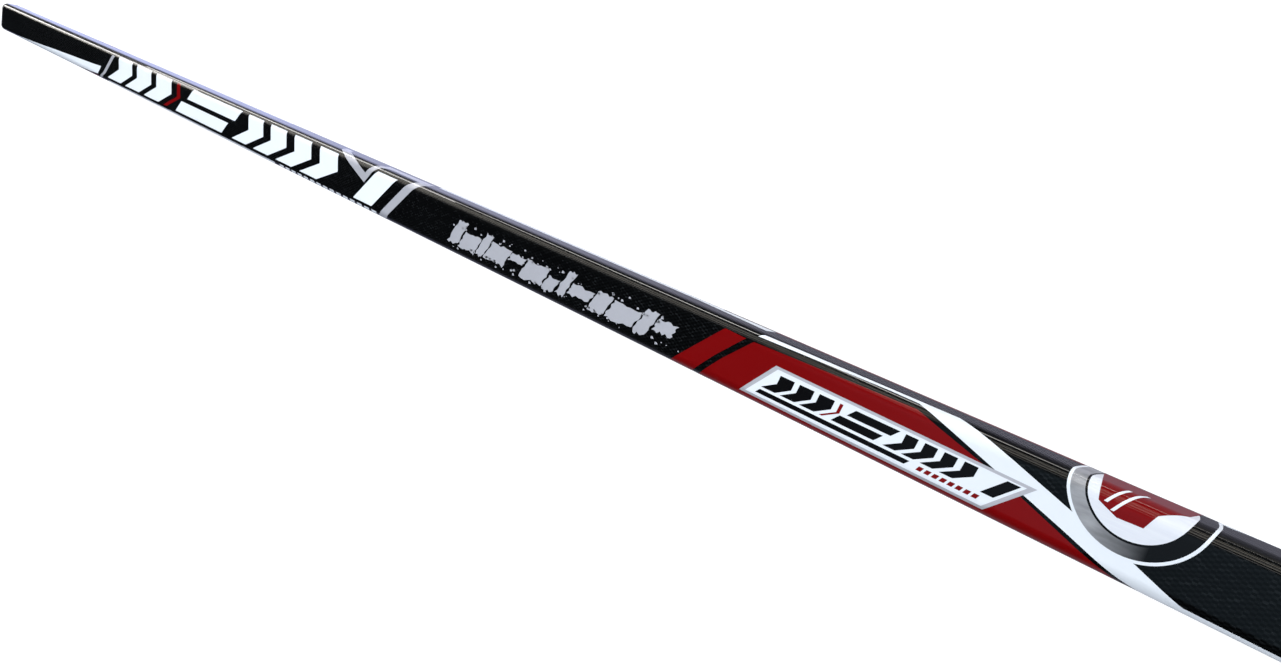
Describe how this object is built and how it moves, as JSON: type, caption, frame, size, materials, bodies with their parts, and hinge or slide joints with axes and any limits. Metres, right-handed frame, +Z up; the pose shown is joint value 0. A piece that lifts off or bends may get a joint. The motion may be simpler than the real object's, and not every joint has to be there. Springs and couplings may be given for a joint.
{
  "type": "ice hockey stick",
  "caption": "One-piece composite ice hockey stick: hollow rounded rectangular shaft with a bonded neck and a mildly curved, foam-cored blade, lying flat with its printed face up.",
  "frame": {"origin": "on the surface that the stick lies on, under the middle of its box", "axes": "+X along the shaft from butt to blade, +Y the way the blade turns, +Z up out of the printed front face"},
  "size_m": [1.735, 0.2626, 0.0195],
  "materials": {
    "clear_coated_carbon": "black carbon weave under a glossy clear coat, with printed bands",
    "blade_carbon": "black carbon weave under a satin clear coat",
    "rib_carbon": "bare carbon laminate",
    "black_plastic": "fine moulded texture",
    "cast_resin": "cast, slightly uneven",
    "epoxy_glue": "cured amber glue",
    "rigid_foam": "fine closed cells"
  },
  "bodies": {
    "root": {"shaft_tube": "clear_coated_carbon", "butt_plug": "black_plastic", "butt_plug_glue": "epoxy_glue", "hosel_tube": "clear_coated_carbon", "tenon_core": "cast_resin", "tenon_glue": "epoxy_glue", "blade_front_skin": "blade_carbon", "blade_back_skin": "blade_carbon", "blade_rim": "cast_resin", "heel_block": "cast_resin", "foam_core_lower": "rigid_foam", "rib_lower": "rib_carbon", "foam_core_middle": "rigid_foam", "rib_upper": "rib_carbon", "foam_core_upper": "rigid_foam", "toe_block": "cast_resin"}
  },
  "joints": []
}
